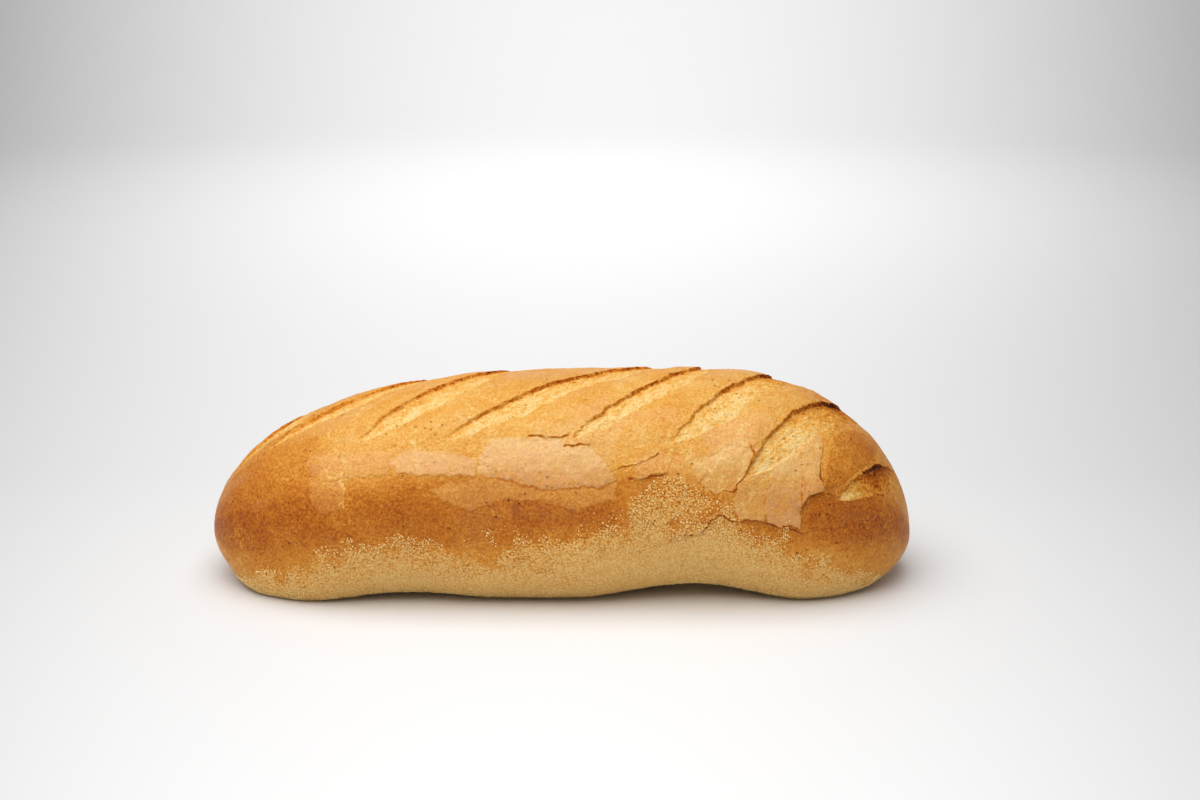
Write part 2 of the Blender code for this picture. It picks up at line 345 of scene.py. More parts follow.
def opened(slash, q):
    """1 along the slash, 0 past its two pointed ends."""
    front = np.clip((q - slash[4]) / TAPER, 0, 1)
    back = np.clip((slash[5] - q) / TAPER, 0, 1)
    return np.sqrt(front * back)


print(len(SLASHES), "slashes")

# %% [markdown]
# Across a slash the crust rises to the lip, drops down a short wall to the torn
# floor, climbs back and swells into the next band. Ragged noise keeps it from
# looking machined, and masks for the colours come out of the same sums.

# %% The profile of a slash
GROOVE_DEPTH = 0.0014
GROOVE_DEPTH_BACK = 0.0010
SHALLOWING = (-0.018, 0.008)
# From x, to x, share of the depth before and after
DEEPER_TO_RIGHT = (0.04, 0.15, 0.72, 1.08)
SHALLOW_FRONT = (-0.058, -0.020, 0.45)
WALL_WIDTH = 0.0006
FLOOR_ROUND = 1.4
FLOOR_WANDER = 0.0026
LEAST_OPEN = 0.15
EAR_RISE = 0.0008
EAR_REACH = 0.0070
EAR_ENDS = (0.2, 0.9)
LIP_CURL = 0.0002
CURL_WIDTH = 0.0011
DARK_BEFORE_LIP = 0.00036
DARK_PAST_LIP = 0.0004
TORN_EDGE = (0.78, 1.0)
TORN_ENDS = (0.02, 0.30)
PILLOW_RISE = 0.0009
LEAST_BAND = 0.004
TIP_FADE = 0.034


def to_tip(x):
    return LENGTH / 2 - np.abs(x)


def slashes_at(x, q):
    """Height of the slashes' profile, and masks for the torn floor and the lips."""
    rise, torn, lip_dark, depth_in, shove = (np.zeros(x.shape) for _ in range(5))
    wander = FLOOR_WANDER * rough(on_label(x, q), 0.008, 4, 61)
    for number, slash in enumerate(SLASHES):
        lip = lip_line(slash, q)
        width = gape(slash, q)
        share = opened(slash, q)
        past = x - lip
        slant = 1 / math.hypot(1, slash[1])
        ears = smooth(*EAR_ENDS, share)
        ear = EAR_RISE * np.exp(np.clip(past, -1, 0) / EAR_REACH) * ears
        wall = np.clip(past * slant / WALL_WIDTH, 0, 1)
        floor_width = width * np.maximum(share, LEAST_OPEN) + wander - WALL_WIDTH
        floor = np.clip((past - WALL_WIDTH) / floor_width, 0, 1)
        depth = GROOVE_DEPTH + (GROOVE_DEPTH_BACK - GROOVE_DEPTH) * smooth(*SHALLOWING, q)
        low, high, least, most = DEEPER_TO_RIGHT
        depth = depth * (least + (most - least) * smooth(low, high, x))
        depth = depth * growing(*SHALLOW_FRONT, q)
        groove = depth * share * wall * (1 - floor) ** FLOOR_ROUND
        rise = rise + np.where(past < 0, ear, ear * (1 - wall) - groove)
        inside = (past > 0) * (1 - smooth(*TORN_EDGE, floor)) * smooth(*TORN_ENDS, share)
        depth_in = np.where(inside > torn, 1 - floor, depth_in)
        torn = np.maximum(torn, inside)
        near = np.exp(-(past * slant / np.where(past < 0, DARK_BEFORE_LIP, DARK_PAST_LIP)) ** 2)
        lip_dark = np.maximum(lip_dark, near * ears)
        shove = shove + LIP_CURL * ears * np.exp(-(past * slant / CURL_WIDTH) ** 2)
        if number + 1 < len(SLASHES):
            next_lip = lip_line(SLASHES[number + 1], q)
            band = np.clip((past - width) / np.maximum(next_lip - lip - width, LEAST_BAND), 0, 1)
            shared = np.maximum(share, opened(SLASHES[number + 1], q))
            rise = rise + PILLOW_RISE * np.sin(np.pi * band) * shared
    tips = smooth(0, TIP_FADE, to_tip(x))
    return rise * tips, torn * tips, depth_in, lip_dark * tips, shove * tips


crown_line = slashes_at(x_table, 0 * x_table)[0]
print("along the crown the relief runs from", round(crown_line.min(), 4), "to", round(crown_line.max(), 4))

# %% [markdown]
# While it cools, the crust shrinks and breaks into plates. Each plate is a ragged
# patch of the label that has tipped a little, so one side of it stands proud of
# its neighbour and the whole patch catches the lamp differently. Open cracks are
# lines whose left side has lifted. Some of both are repeated on the far side.

# %% Where the plates and cracks lie
# Corners on the label (x, q) in mm, lift at the proud side, way to that side, bake, shine (coat and
# painted peach sheen)
FRONT_PLATES = [
    ([(-38, -70), (-36, -59), (-32, -52), (-17, -53), (0, -53), (2, -58), (14, -58), (21, -65), (26, -73),
      (18, -77), (-9, -77), (-27, -72)], 0.0004, (0.2, -1.0), -0.05, 1.0),
    ([(-78, -59), (-73, -55), (-54, -57), (-38, -62), (-38, -70), (-55, -69), (-75, -66)], 0.0005,
      (0.0, -1.0), -0.04, 0.85),
    ([(-119, -49), (-115, -45), (-100, -49), (-78, -54), (-78, -66), (-109, -64), (-116, -59)], 0.0003,
      (0.0, -1.0), 0.02, 0.35),
    ([(-116, -61), (-99, -63), (-99, -81), (-109, -82), (-115, -75)], 0.0004, (-0.3, -1.0), -0.06, 0.22),
    ([(-59, -75), (-37, -71), (-9, -78), (19, -78), (26, -74), (25, -82), (9, -87), (-9, -83), (-23, -81),
      (-41, -86), (-53, -81)], 0.0002, (0.0, -1.0), -0.11, 0.32),
    ([(89, -59), (103, -52), (111, -46), (112, -61), (111, -83), (111, -94), (96, -93), (94, -88),
      (97, -69)], 0.0007, (0.2, -1.0), -0.12, 0.95),
    ([(112, -61), (113, -45), (122, -40), (122, -48), (119, -65), (122, -74), (115, -77), (111, -83)],
      0.001, (0.8, -0.6), -0.1, 0.8),
    ([(97, -69), (83, -70), (81, -76), (80, -86), (82, -91), (94, -93)], 0.0005, (-0.4, -1.0), -0.15,
      0.5),
    ([(71, -80), (79, -79), (85, -71), (88, -65), (89, -59), (85, -53), (75, -56), (67, -62), (60, -69),
      (64, -75)], 0.0009, (0.6, -0.8), -0.1, 0.6),
    ([(65, -53), (72, -46), (88, -36), (99, -37), (100, -46), (89, -58), (78, -57), (69, -62)], 0.0003,
      (0.5, -0.8), 0.03, 0.45),
    ([(35, -65), (47, -60), (50, -64), (50, -70), (34, -73)], 0.0006, (0.0, -1.0), -0.02, 0.35),
    ([(50, -64), (64, -62), (68, -70), (64, -77), (50, -75)], 0.0004, (0.3, -1.0), -0.02, 0.25),
    ([(124, -52), (128, -40), (140, -22), (152, -6), (150, -30), (145, -46), (132, -67), (122, -73)],
      0.0003, (0.3, -0.9), 0.14, 0.0),
    ([(114, -83), (121, -76), (139, -71), (155, -55), (164, -70), (158, -90), (146, -98), (129, -101),
      (115, -97)], 0.0004, (-1.0, 0.5), 0.07, 0.0),
    ([(-22, -82), (0, -82), (24, -88), (27, -92), (19, -97), (0, -95), (-22, -94)], 0.0, (0.0, 1.0), 0.08,
      0.0),
]
# Points of the crack on the label (x, q) in mm, and lift of its left side
FRONT_CRACKS = [
    ([(47, -103), (53, -101), (64, -99), (70, -92), (74, -90), (80, -93), (92, -92), (101, -94),
      (116, -97)], 0.0009),
    ([(88, -54), (89, -59), (88, -66), (84, -73), (79, -79), (71, -80)], 0.0006),
    ([(110, -85), (114, -79), (119, -75), (122, -74)], 0.0009),
    ([(-16, -51.5), (-6, -53), (0, -53), (4, -51)], 0.0007),
    ([(1, -57), (8, -56.5), (14, -58)], 0.0007),
    ([(31, -72), (39, -72.5), (49, -71)], 0.0007),
    ([(26, -69), (37, -66), (46, -62)], 0.0006),
    ([(137, -67.5), (143, -70.5), (153, -62)], 0.0005),
]


def in_metres(corners):
    return [(x / 1000, q / 1000) for x, q in corners]


def far_side(corners, shift):
    """The same outline on the back of the loaf, turned end for end and moved along."""
    return [(shift - x, -q) for x, q in corners]


BACK_SHIFT = {0: -0.030, 1: -0.030, 2: -0.030, 4: -0.030, 5: 0.010, 7: 0.010, 8: 0.060}
BACK_SHINE = 0.5
BACK_CRACKS = [(0, 0.010, 0.0009), (3, -0.030, 0.0006)]
PLATES = [(in_metres(corners), *rest) for corners, *rest in FRONT_PLATES]
for number, shift in BACK_SHIFT.items():
    corners, lift, way, change, shine = PLATES[number]
    PLATES.append((far_side(corners, shift), lift, (-way[0], -way[1]), change, BACK_SHINE * shine))
CRACKS = [(in_metres(points), lift) for points, lift in FRONT_CRACKS]
for number, shift, lift in BACK_CRACKS:
    CRACKS.append((far_side(CRACKS[number][0], shift), lift))
print(len(PLATES), "plates and", len(CRACKS), "cracks")

# %% [markdown]
# Two questions are asked of every corner: how far is it from a crack, and how
# deep inside a plate. All outlines are first shifted by the same noise, so they
# turn ragged, and a crack and a plate that share an edge stay together.

# %% Distances on the label
RAG_STRAY = 0.0009
RAG_SIZE = 0.0036
TINY = 1e-12


def ragged(x, q):
    label = on_label(x, q)
    return x + RAG_STRAY * rough(label, RAG_SIZE, 3, 201), q + RAG_STRAY * rough(label, RAG_SIZE, 3, 301)


def from_line(x, q, points):
    """Distance to a line on the label, which side of it (+1 left), and the share walked."""
    best = np.full(x.shape, 1.0)
    side = np.ones(x.shape)
    share = np.zeros(x.shape)
    corners = np.array(points)
    lengths = np.linalg.norm(np.diff(corners, axis=0), axis=1)
    before = np.concatenate([[0], np.cumsum(lengths)])
    for number, length in enumerate(lengths):
        start = corners[number]
        way = (corners[number + 1] - start) / length
        off_x = x - start[0]
        off_q = q - start[1]
        run = np.clip(off_x * way[0] + off_q * way[1], 0, length)
        distance = np.hypot(off_x - run * way[0], off_q - run * way[1])
        closer = distance < best
        best = np.where(closer, distance, best)
        side = np.where(closer, np.sign(way[0] * off_q - way[1] * off_x), side)
        share = np.where(closer, (before[number] + run) / before[-1], share)
    return best, side, share


def inside_of(x, q, corners):
    """Distance to a closed outline, plus inside it and minus outside."""
    inside = np.zeros(x.shape, bool)
    for (x0, q0), (x1, q1) in zip(corners, corners[1:] + corners[:1]):
        crosses = (q0 > q) != (q1 > q)
        inside ^= crosses & (x < (x1 - x0) * (q - q0) / (q1 - q0 + TINY) + x0)
    distance = from_line(x, q, corners + corners[:1])[0]
    return np.where(inside, distance, -distance)


def near_box(x, q, points, margin):
    """True within the margin of the points' box."""
    span = np.array(points)
    near = (x > span[:, 0].min() - margin) & (x < span[:, 0].max() + margin)
    return near & (q > span[:, 1].min() - margin) & (q < span[:, 1].max() + margin)


deep_in = inside_of(np.array([-0.005]), np.array([-0.065]), PLATES[0][0])
print("the middle of the first plate lies", round(float(deep_in[0]), 4), "from its edge")

# %% [markdown]
# A plate is flat and tipped, with a soft edge on its low side. Its proud edge has
# a dark seam outside, a painted shadow that is partly scorched crust, and a pale
# broken rim inside, here and there. A crack is the same edge without a plate.

# %% The relief of plates and cracks
STEP_HALF = 0.00030
SOFT_SIDE = 0.0018
HARD_TIP = 0.35
TIP_PATCHES = 0.25
PATCH_SIZE = 0.006
RAG_ROOM = 0.004
PROUD_LIFT = 0.0007
PLATE_SEAM_SHADOW = 0.70
OPEN_PATCHES = (0.45, 0.75)
SEAM_SHADOW_WIDTH = 0.00036
SEAM_SHADOW_OUTSIDE = 0.0001
SEAM_SHADOW_PATCHES = (0.0, 0.4)
RIM_INSET = 0.0006
RIM_WIDTH = 0.0005
RIM_PATCHES = (0.3, 0.7)
CRACK_BACK = 0.012
CRACK_ENDS = (0.08, 0.92)
DARK_CRACK_LIFT = 0.0009


def plates_at(x, q):
    """Height, dark seam of painted shadow and scorch, pale broken rim, change of bake and shine from
    plates and cracks.
    """
    rise, seam_shadow_and_scorch, rim, change, shine = (np.zeros(x.shape) for _ in range(5))
    warped_x, warped_q = ragged(x, q)
    patchy = 0.5 + 0.5 * rough(on_label(x, q), PATCH_SIZE, 2, 401)
    for corners, lift, way, tone, gloss in PLATES:
        near = near_box(x, q, corners, RAG_ROOM)
        if not near.any():
            continue
        here_x = warped_x[near]
        here_q = warped_q[near]
        depth = inside_of(here_x, here_q, corners)
        reached = (np.array(corners) @ np.array(way))
        tipped = np.clip((here_x * way[0] + here_q * way[1] - reached.min()) / np.ptp(reached), 0, 1)
        shaken = tipped + TIP_PATCHES * (patchy[near] - 0.5)
        edge = STEP_HALF + SOFT_SIDE * (1 - smooth(0.0, HARD_TIP, shaken))
        on = smooth(-edge, edge, depth)
        rise[near] += lift * on * tipped
        proud = np.clip(lift * tipped / PROUD_LIFT, 0, 1) ** 2
        open_here = PLATE_SEAM_SHADOW * proud * smooth(*OPEN_PATCHES, patchy[near])
        # The dark seam is painted shadow under the proud edge, partly scorched crust
        dark = open_here * np.exp(-((depth + SEAM_SHADOW_OUTSIDE) / SEAM_SHADOW_WIDTH) ** 2)
        seam_shadow_and_scorch[near] = np.maximum(seam_shadow_and_scorch[near], dark)
        rim[near] = np.maximum(rim[near], proud * np.exp(-((depth - RIM_INSET) / RIM_WIDTH) ** 2))
        change[near] += tone * on
        shine[near] = np.maximum(shine[near], gloss * on)
    for points, lift in CRACKS:
        near = near_box(x, q, points, CRACK_BACK + RAG_ROOM)
        if not near.any():
            continue
        distance, side, share = from_line(warped_x[near], warped_q[near], points)
        signed = distance * side
        opens, closes = CRACK_ENDS
        ends = smooth(0, opens, share) * (1 - smooth(closes, 1.0, share)) * (distance < CRACK_BACK)
        step = lift * smooth(-STEP_HALF, STEP_HALF, signed)
        rise[near] += step * ends * (1 - smooth(0, CRACK_BACK, signed))
        # The crack's dark seam is painted shadow, partly scorched crust
        dark = ends * min(lift / DARK_CRACK_LIFT, 1)
        dark = dark * np.exp(-((signed + SEAM_SHADOW_OUTSIDE) / SEAM_SHADOW_WIDTH) ** 2)
        seam_shadow_and_scorch[near] = np.maximum(seam_shadow_and_scorch[near], dark)
        rim[near] = np.maximum(rim[near], ends * np.exp(-((signed - RIM_INSET) / RIM_WIDTH) ** 2))
    seam_shadow_and_scorch = seam_shadow_and_scorch * smooth(*SEAM_SHADOW_PATCHES, patchy)
    rim = rim * smooth(*RIM_PATCHES, 1 - patchy)
    return rise, seam_shadow_and_scorch, rim, change, shine


print("the proudest crust stands up by", max(row[1] for row in PLATES + CRACKS))

# %% [markdown]
# Dough is never quite straight. A few slow waves swell it, as they do in the
# solid underneath, and finer lumps stand for gas bubbles under the crust. The
# torn floor is the roughest: strands of crumb stretched across the tear.

# %% Swelling, bubbles and torn crumb
SWELL_RISE = 0.0004
SWELL_WAVES = 7
SWELL_LENGTHS = (0.050, 0.110)
SWELL_SEED = 23
RELIEF_FROM_SOLE = (0.144, 0.272)
TIP_CLOSING = 0.012
BUBBLE_RISE = 0.00024
FINE_BUBBLES = 0.75
CRUMB_RISE = 0.00040
STRAND_SHARE = 0.55
CRUMB_SHARE = 0.75
CALM_CROWN = (-0.020, 0.004)
CALMED = 0.6
STRAND_STRETCH = 0.35
NORMAL_STEP = 0.0004


def swelling(points):
    chance = np.random.default_rng(SWELL_SEED)
    total = np.zeros(points.shape[:-1])
    for _ in range(SWELL_WAVES):
        direction = chance.normal(size=3)
        direction /= np.linalg.norm(direction)
        wave = 2 * np.pi / chance.uniform(*SWELL_LENGTHS)
        total += np.sin(points @ direction * wave + chance.uniform(0, 2 * np.pi))
    return SWELL_RISE * total / math.sqrt(SWELL_WAVES)


def plain_normal(x, turn):
    to_x = np.clip(x + NORMAL_STEP, -LENGTH / 2, LENGTH / 2)
    from_x = np.clip(x - NORMAL_STEP, -LENGTH / 2, LENGTH / 2)
    down_length = section(to_x, turn) - section(from_x, turn)
    to_turn = np.clip(turn + NORMAL_STEP, 0, 1)
    from_turn = np.clip(turn - NORMAL_STEP, 0, 1)
    normal = np.cross(down_length, section(x, to_turn) - section(x, from_turn))
    return normal / np.maximum(np.linalg.norm(normal, axis=-1, keepdims=True), TINY)


def skin(x, turn):
    """The finished surface at (x, turn), with the masks that its colours need."""
    q = np.interp(turn, turn_table, q_table)
    here = section(x, turn)
    normal = plain_normal(x, turn)
    slash_rise, torn, depth_in, lip, shove = slashes_at(x, q)
    plate_rise, seam_shadow_and_scorch, rim, change, shine = plates_at(x, q)
    strands = rough(on_label((x + q) * STRAND_STRETCH, q - x), 0.0016, 2, 71)
    calmer = 1 - CALMED * smooth(*CALM_CROWN, q)
    torn_relief = STRAND_SHARE * strands + CRUMB_SHARE * rough(here, 0.0020, 3, 72)
    crumb = CRUMB_RISE * torn * calmer * torn_relief
    blistered = rough(here, 0.0075, 3, 73) + FINE_BUBBLES * rough(here, 0.0024, 2, 74)
    bubbles = BUBBLE_RISE * (1 - torn) * blistered
    away = smooth(*RELIEF_FROM_SOLE, up_round(turn)) * smooth(0, TIP_CLOSING, to_tip(x))
    rise = (slash_rise + plate_rise * (1 - torn) + swelling(here) + crumb + bubbles) * away
    points = here + normal * rise[..., None]
    points[..., 0] += shove * away
    masks = {"seam_shadow_and_scorch": seam_shadow_and_scorch, "rim": rim, "change": change, "shine": shine}
    masks = {name: mask * (1 - torn) for name, mask in masks.items()}
    return points, {"q": q, "torn": torn, "depth": depth_in, "lip": lip, **masks}


# %% [markdown]
# The skin is a grid of cells about a millimetre wide, wrapped round the loaf and
# closed at both tips. Where a lip, a tear or a plate's edge runs through a cell,
# the cell is split three by three, so the sharp places get small faces and the
# plain places don't.

# %% The skin's grid
CELLS_OVER = 400
CELLS_ROUND = 384
SPLIT = 3
FINE_EDGE = 0.02
FINE_RIM = 0.1
FINE_STEP = 0.05


def lattice_place(over, around):
    """x and turn of a lattice point: over counts along the loaf, around round it."""
    share = (over / SPLIT + 1) / (CELLS_OVER + 2)
    x = np.interp(share * walked_over[-1], walked_over, x_table)
    q = q_table[0] + (q_table[-1] - q_table[0]) * around / (SPLIT * CELLS_ROUND)
    return x, np.interp(q, q_table, turn_table)


def cells_to_split():
    over, around = np.meshgrid(np.arange(CELLS_OVER), np.arange(CELLS_ROUND), indexing="ij")
    busy = np.zeros(over.shape, bool)
    for step in (0.25, 0.75):
        x, turn = lattice_place((over + step) * SPLIT, (around + 1 - step) * SPLIT)
        q = np.interp(turn, turn_table, q_table)
        torn, _, lip = slashes_at(x, q)[1:4]
        seam_shadow_and_scorch, rim, change, shine = plates_at(x, q)[1:]
        level = change + shine
        here = (torn > FINE_EDGE) | (lip > FINE_EDGE) | (seam_shadow_and_scorch > FINE_EDGE) | (rim > FINE_RIM)
        here[1:] |= np.abs(np.diff(level, axis=0)) > FINE_STEP
        here[:, 1:] |= np.abs(np.diff(level, axis=1)) > FINE_STEP
        busy |= here
    wider = busy.copy()
    wider[1:] |= busy[:-1]
    wider[:-1] |= busy[1:]
    wider |= np.roll(busy, 1, axis=1) | np.roll(busy, -1, axis=1)
    return wider


def lattice_id(over, around):
    return over * (SPLIT * CELLS_ROUND) + around % (SPLIT * CELLS_ROUND)


split_cells = cells_to_split()
print("cells split", int(split_cells.sum()), "of", split_cells.size)

# %% [markdown]
# A whole cell beside a split one takes the extra corners into its own outline,
# which keeps the skin watertight. The corners in use are then numbered, and the
# formula is asked once for all of them.

# %% The skin's faces and corners
QUAD = ((0, 0), (1, 0), (1, 1), (0, 1))


def grid_faces(split):
    """Faces as rows of lattice ids: small quads, plain quads, and quads with extra corners."""
    over, around = np.nonzero(split)
    step = np.arange(SPLIT)
    small_over = (over[:, None, None] * SPLIT + step[:, None]).repeat(SPLIT, axis=2).ravel()
    small_around = (around[:, None, None] * SPLIT + step[None, :]).repeat(SPLIT, axis=1).ravel()
    small = [lattice_id(small_over + a, small_around + b) for a, b in QUAD]
    faces = np.stack(small, axis=1).tolist()
    padded = np.zeros((CELLS_OVER + 2, CELLS_ROUND), bool)
    padded[1:-1] = split
    beside = padded[:-2] | padded[2:] | np.roll(split, 1, axis=1) | np.roll(split, -1, axis=1)
    over, around = np.nonzero(~split & ~beside)
    whole = [lattice_id((over + a) * SPLIT, (around + b) * SPLIT) for a, b in QUAD]
    faces += np.stack(whole, axis=1).tolist()
    ways = ((1, 0), (0, 1), (-1, 0), (0, -1))
    for i, j in zip(*np.nonzero(~split & beside)):
        neighbours = (split[i, j - 1], padded[i + 2, j], split[i, (j + 1) % CELLS_ROUND], padded[i, j])
        face = []
        for (a, b), (way_i, way_j), extra in zip(QUAD, ways, neighbours):
            for k in range(SPLIT if extra else 1):
                face.append(lattice_id((i + a) * SPLIT + k * way_i, (j + b) * SPLIT + k * way_j))
        faces.append(face)
    return faces


lattice_faces = grid_faces(split_cells)
used = np.unique(np.concatenate([np.array(face) for face in lattice_faces]))
number_of = np.full(used[-1] + 1, -1)
number_of[used] = np.arange(len(used))
x_here, turn_here = lattice_place(used // (SPLIT * CELLS_ROUND), used % (SPLIT * CELLS_ROUND))
skin_points, masks = skin(x_here, turn_here)
print(len(lattice_faces), "faces between", len(used), "corners")

# %% [markdown]
# Semolina from the tray clings to the lower side, where the dough was moist. Its
# upper limit is a line on the label that wanders with noise. Two masks come from
# it: sand, where grains may lie, and flour, the fine dust that lies lower down.

# %% Where the semolina clings
# The line along the front above which no semolina clings, on the label (x, q) in mm
SAND_LINE = [(-170, -165), (-152, -132), (-140, -119), (-121, -110), (-92, -104), (-74, -102), (-27, -106),
             (0, -104), (20, -95), (37, -82), (64, -82), (80, -90), (92, -98), (116, -108), (132, -117),
             (145, -126), (157, -142), (170, -165)]
SAND_SOFT = 0.006
SAND_WANDER = 0.007
SAND_OFF_NOSES = (0.004, 0.016)
SWEPT_PATCHES = (0.25, 0.60)
SWEPT_BELOW = (0.008, 0.024)
SWEPT_CLEAN = 0.9
FLOUR_BELOW = (0.002, 0.028)
FLOUR_OFF_SOLE = 0.09

q_here = masks["q"]
torn = masks["torn"]
line_x, line_q = np.transpose(in_metres(SAND_LINE))
below_front = np.interp(x_here, line_x, line_q) - q_here
below_line = np.where(q_here < 0, below_front, q_here + np.interp(-x_here, line_x, line_q))
below_line = below_line + SAND_WANDER * rough(skin_points, 0.015, 4, 85)
swept = smooth(*SWEPT_PATCHES, rough(skin_points, 0.013, 3, 88)) * (1 - smooth(*SWEPT_BELOW, below_line))
sand = smooth(-SAND_SOFT, SAND_SOFT, below_line) * (1 - torn) * (1 - SWEPT_CLEAN * swept)
sand = sand * (1 - np.clip(2 * masks["seam_shadow_and_scorch"], 0, 1)) * smooth(*SAND_OFF_NOSES, to_tip(x_here))
flour = smooth(*FLOUR_BELOW, below_line) * sand * smooth(FLOUR_OFF_SOLE, SOLE_TURN, up_round(turn_here))
print("sand on", round(100 * float(sand.mean())), "percent of the corners")

# %% [markdown]
# The colours of baking are laid on as one number per corner: how far the crust
# has browned, from raw flour at 0 to scorched at 1. On a real loaf it follows
# heat and height: golden on top, deepest on the shoulders and the blunt end,
# pale near the tray. Strokes set out on the label do this, like an airbrush.

# %% Strokes of baking
# (q, bake) round the middle of the loaf, from the sole up the front and down the back
ROUND_Q = [-0.190, -0.165, -0.150, -0.122, -0.107, -0.099, -0.092, -0.082, -0.073, -0.066, -0.050, -0.020,
           0.0, 0.030, 0.060, 0.080, 0.095, 0.105, 0.122, 0.150, 0.165, 0.190]
ROUND_BAKE = [0.58, 0.58, 0.42, 0.43, 0.50, 0.63, 0.68, 0.69, 0.60, 0.44, 0.37, 0.36,
              0.40, 0.44, 0.52, 0.64, 0.64, 0.56, 0.47, 0.44, 0.58, 0.58]
# Strokes of more or less baking on the crust: (x, q, half length, half height, change)
STROKES = [
    (0.150, -0.078, 0.026, 0.026, 0.07),
    (0.150, -0.030, 0.020, 0.030, 0.16),
    (-0.152, -0.055, 0.036, 0.040, 0.33),
    (-0.150, -0.085, 0.030, 0.014, -0.05),
    (0.070, -0.020, 0.060, 0.020, -0.03),
    (-0.078, -0.050, 0.060, 0.016, -0.04),
    (0.060, -0.084, 0.044, 0.016, -0.12),
    (0.045, -0.066, 0.060, 0.016, -0.03),
    (0.100, -0.075, 0.022, 0.022, -0.04),
    (0.127, -0.002, 0.014, 0.010, 0.10),
]
# The same for the torn floors
TORN_STROKES = [
    (0.130, 0.004, 0.018, 0.016, 0.36),
    (0.160, -0.040, 0.022, 0.040, 0.42),
    (0.105, 0.010, 0.020, 0.020, 0.16),
    (0.128, -0.028, 0.024, 0.020, 0.22),
    (0.148, -0.062, 0.014, 0.016, 0.24),
]


def stroked(strokes):
    total = 0
    for stroke_x, stroke_q, half_length, half_height, change in strokes:
        off = ((x_here - stroke_x) / half_length) ** 2 + ((q_here - stroke_q) / half_height) ** 2
        total = total + change * np.exp(-off)
    return total


print(len(STROKES) + len(TORN_STROKES), "strokes")

# %% [markdown]
# The crust and the torn floors are baked apart and then joined. In the torn
# floors, the darker bake near the lips and on the walls is partly painted shade.
# Noise breaks the strokes up. Last come the thin things: dark lips, pale rims and
# dark seams of painted shadow and scorch, each drawn over what is there already.

# %% How far each place has baked
# Noise in the baking of the crust: share, size, octaves, seed
CRUST_WAVES = [(0.05, 0.017, 3, 81), (0.02, 0.004, 2, 82)]
DARKEST = 0.80
SOFT_KNEE = 0.10
UNDER_SAND = -0.11
FLOOR_BAKE = 0.11
NEAR_LIP_BAKE_AND_SHADE = 0.17
WALL_SHADE_BAKE = 0.09
STREAK_BAKE = 0.10
LUMP_BAKE = 0.06
LAST_SLASH = (0.138, 0.156, 0.38)
# More baking of the torn floors towards the crown: share, from q, to q
TO_CROWN = [(0.10, -0.035, -0.010), (0.14, -0.005, 0.020)]
LIP_BAKE = 0.86
RIM_BAKE = 0.14
RIM_SHARE = 0.40
SEAM_SHADOW_AND_SCORCH_BAKE = 0.94
SEAM_SHADOW_SHARE = 1.1
# The lips are darkest on the crown and to the right: from, to, share before it
LIP_TO_TOP = (-0.045, -0.010, 0.30)
LIP_TO_RIGHT = (-0.150, -0.010, 0.40)
ROW_BAKE = 0.06


def smooth_over(room):
    """Room left below the darkest bake, eased so that it never reaches zero."""
    return SOFT_KNEE * np.log1p(np.exp(room / SOFT_KNEE))


def toward(target, share):
    """The bake, drawn to a target by a share."""
    return bake + (target - bake) * share


depth = masks["depth"]
bake = np.interp(q_here, ROUND_Q, ROUND_BAKE) + stroked(STROKES) + masks["change"]
for share, size, octaves, seed in CRUST_WAVES:
    bake = bake + share * rough(skin_points, size, octaves, seed)
bake = DARKEST - smooth_over(DARKEST - (bake + UNDER_SAND * sand))
streaks = rough(on_label((x_here + q_here) * STRAND_STRETCH, q_here - x_here), 0.0022, 3, 83)
to_crown = sum(share * smooth(low, high, q_here) for share, low, high in TO_CROWN)
# Darker towards the lip: partly real bake, partly painted shade under the ear
torn_bake = FLOOR_BAKE + NEAR_LIP_BAKE_AND_SHADE * depth ** 2 + to_crown + stroked(TORN_STROKES)
torn_bake = torn_bake + STREAK_BAKE * streaks + LUMP_BAKE * rough(skin_points, 0.005, 2, 87)
last_from, last_to, last_share = LAST_SLASH
torn_bake = torn_bake + last_share * depth * smooth(last_from, last_to, x_here)
# Painted warm shade on the steep wall under each lip
torn_bake = torn_bake + WALL_SHADE_BAKE * smooth(0.90, 1.0, depth)
bake = toward(torn_bake, smooth(0.1, 0.8, torn))
patchy = np.clip(0.60 + 1.2 * rough(on_label(x_here, q_here), 0.006, 3, 84), 0.05, 1)
lips = masks["lip"] * patchy * growing(*LIP_TO_TOP, q_here) * growing(*LIP_TO_RIGHT, x_here)
bake = toward(LIP_BAKE, np.clip(lips, 0, 1))
bake = toward(RIM_BAKE, RIM_SHARE * masks["rim"])
# Painted shadow, partly scorch: the dark seams beside lifted plates and cracks
bake = toward(SEAM_SHADOW_AND_SCORCH_BAKE, np.clip(SEAM_SHADOW_SHARE * masks["seam_shadow_and_scorch"], 0, 1))
bake = bake + ROW_BAKE * rough(on_label(x_here * 0.2, q_here), 0.0018, 2, 86) * sand
print("bake from", round(float(bake.min()), 2), "to", round(float(bake.max()), 2))

# %% [markdown]
# Now the corners become one mesh. A map of the label goes in too: it lays the
# whole crust flat in one piece, so anyone who paints or bakes the loaf has no
# islands to join.

# %% The loaf's skin as a mesh
BAKE_MAP = "OFBake"
EDGE_OF_MAP = 0.004


def new_mesh(name, points, faces):
    mesh = bpy.data.meshes.new(name)
    mesh.from_pydata(points, [], faces)
    return mesh


